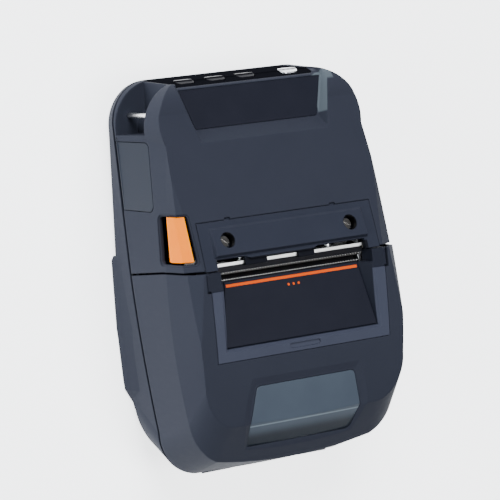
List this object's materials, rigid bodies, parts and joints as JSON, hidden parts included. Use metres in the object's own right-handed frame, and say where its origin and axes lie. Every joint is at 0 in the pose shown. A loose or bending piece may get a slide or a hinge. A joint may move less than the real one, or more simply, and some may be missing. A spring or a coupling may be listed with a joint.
{
  "type": "mobile receipt printer",
  "caption": "Rugged belt-worn printer for receipts and labels, with a hinged lid over the paper roll, a tear-off exit, a release lever and a removable battery.",
  "frame": {"origin": "middle of the underside, where the back of the printer rests", "axes": "+Z out of the front face with the paper exit, +Y to the end with the buttons, +X to the right seen from the front with the buttons up"},
  "size_m": [0.124, 0.1909, 0.0702],
  "materials": {
    "case_plastic": "fine matte grain",
    "bezel_plastic": "satin",
    "panel_plastic": "satin",
    "smoked_window": "clear, smoked",
    "orange_plastic": "satin",
    "orange_print": "printed",
    "flap_rubber": "matte",
    "seal_rubber": "matte",
    "deck_plastic": "satin",
    "key_rubber": "matte",
    "silver_paint": "satin",
    "steel": "brushed",
    "dark_steel": "black oxide",
    "brass": "machined",
    "board_green": "solder mask",
    "gear_plastic": "moulded",
    "inner_plastic": "moulded",
    "platen_black": "ground",
    "head_ceramic": "glazed",
    "battery_plastic": "fine matte grain"
  },
  "bodies": {
    "case": {"rear_case": "case_plastic", "front_case": "case_plastic", "seal": "seal_rubber", "key_deck": "deck_plastic", "head_cover": "bezel_plastic", "head_cover_screws": "steel", "print_head": "head_ceramic", "head_bracket": "steel", "head_springs": "steel", "tear_blade": "steel", "top_panel": "panel_plastic", "strap_bar_left": "steel", "strap_bar_right": "steel", "clip_inserts": "brass", "case_screws": "dark_steel", "main_board": "board_green", "usb_socket": "steel", "dc_socket": "inner_plastic", "keypad_board": "board_green", "chassis": "steel", "feed_motor": "dark_steel", "lever_pin": "steel", "roll_bin": "inner_plastic", "media_sensor": "inner_plastic", "hinge_pins": "steel", "battery_contacts": "brass"},
    "lid": {"media_cover": "case_plastic", "exit_frame": "bezel_plastic", "label_panel": "panel_plastic", "orange_stripe": "orange_print", "cover_tear_edge": "steel", "window": "smoked_window", "platen_bearings": "gear_plastic"},
    "platen": {"platen_shaft": "steel", "platen_rubber": "platen_black", "platen_gear": "gear_plastic"},
    "idler": {"idler_gear": "gear_plastic"},
    "rotor": {"motor_shaft": "steel", "motor_gear": "gear_plastic"},
    "latch": {"latch_shaft": "steel"},
    "lever": {"release_lever": "orange_plastic"},
    "flap": {"port_flap": "flap_rubber"},
    "key_1": {"button_1": "key_rubber"},
    "key_2": {"button_2": "key_rubber"},
    "key_3": {"button_3": "key_rubber"},
    "power_key": {"power_button": "silver_paint"},
    "guide_left": {"roll_guide_left": "inner_plastic"},
    "guide_right": {"roll_guide_right": "inner_plastic"},
    "battery": {"battery_pack": "battery_plastic"},
    "catch": {"battery_latch": "inner_plastic"}
  },
  "joints": [
    {"name": "lid_hinge", "type": "hinge", "parent": "case", "child": "lid", "pos_m": [0, -0.094, 0.02656], "axis": [1, 0, 0], "range_deg": [0, 100]},
    {"name": "platen_spin", "type": "hinge", "parent": "lid", "child": "platen", "pos_m": [0, -0.0026, 0.0545], "axis": [1, 0, 0], "continuous": true},
    {"name": "idler_spin", "type": "hinge", "parent": "case", "child": "idler", "pos_m": [0.0542, 0.0018, 0.04], "axis": [1, 0, 0], "continuous": true},
    {"name": "rotor_spin", "type": "hinge", "parent": "case", "child": "rotor", "pos_m": [0.0542, 0.0153, 0.0358], "axis": [1, 0, 0], "continuous": true},
    {"name": "lever_press", "type": "hinge", "parent": "case", "child": "lever", "pos_m": [-0.0559, 0.0355, 0.0515], "axis": [0, 0, 1], "range_deg": [0, 4]},
    {"name": "latch_turn", "type": "hinge", "parent": "case", "child": "latch", "pos_m": [0, 0.0135, 0.053], "axis": [-1, 0, 0], "range_deg": [0, 6], "stiffness_Nm_per_rad": 1},
    {"name": "flap_swing", "type": "hinge", "parent": "case", "child": "flap", "pos_m": [-0.0609, 0.0516, 0.01526], "axis": [0, -0.996, 0.0896], "range_deg": [0, 100]},
    {"name": "key_1_press", "type": "slide", "parent": "case", "child": "key_1", "axis": [0, -1, 0], "range_m": [0, 0.0006], "stiffness_N_per_m": 800},
    {"name": "key_2_press", "type": "slide", "parent": "case", "child": "key_2", "axis": [0, -1, 0], "range_m": [0, 0.0006], "stiffness_N_per_m": 800},
    {"name": "key_3_press", "type": "slide", "parent": "case", "child": "key_3", "axis": [0, -1, 0], "range_m": [0, 0.0006], "stiffness_N_per_m": 800},
    {"name": "power_press", "type": "slide", "parent": "case", "child": "power_key", "axis": [0, -1, 0], "range_m": [0, 0.0006], "stiffness_N_per_m": 800},
    {"name": "guide_right_slide", "type": "slide", "parent": "case", "child": "guide_right", "axis": [-1, 0, 0], "range_m": [0, 0.014]},
    {"name": "guide_left_slide", "type": "slide", "parent": "case", "child": "guide_left", "axis": [1, 0, 0], "range_m": [0, 0.014]},
    {"name": "battery_slide", "type": "slide", "parent": "case", "child": "battery", "axis": [0, 0, -1], "range_m": [0, 0.016]},
    {"name": "catch_slide", "type": "slide", "parent": "case", "child": "catch", "axis": [0, -1, 0], "range_m": [0, 0.0015], "stiffness_N_per_m": 400}
  ],
  "couplings": [
    {"joint": "idler_spin", "follows": "platen_spin", "ratio": -0.66667},
    {"joint": "rotor_spin", "follows": "platen_spin", "ratio": 1.2},
    {"joint": "lever_press", "follows": "latch_turn", "ratio": 0.66667},
    {"joint": "guide_left_slide", "follows": "guide_right_slide", "ratio": 1}
  ]
}
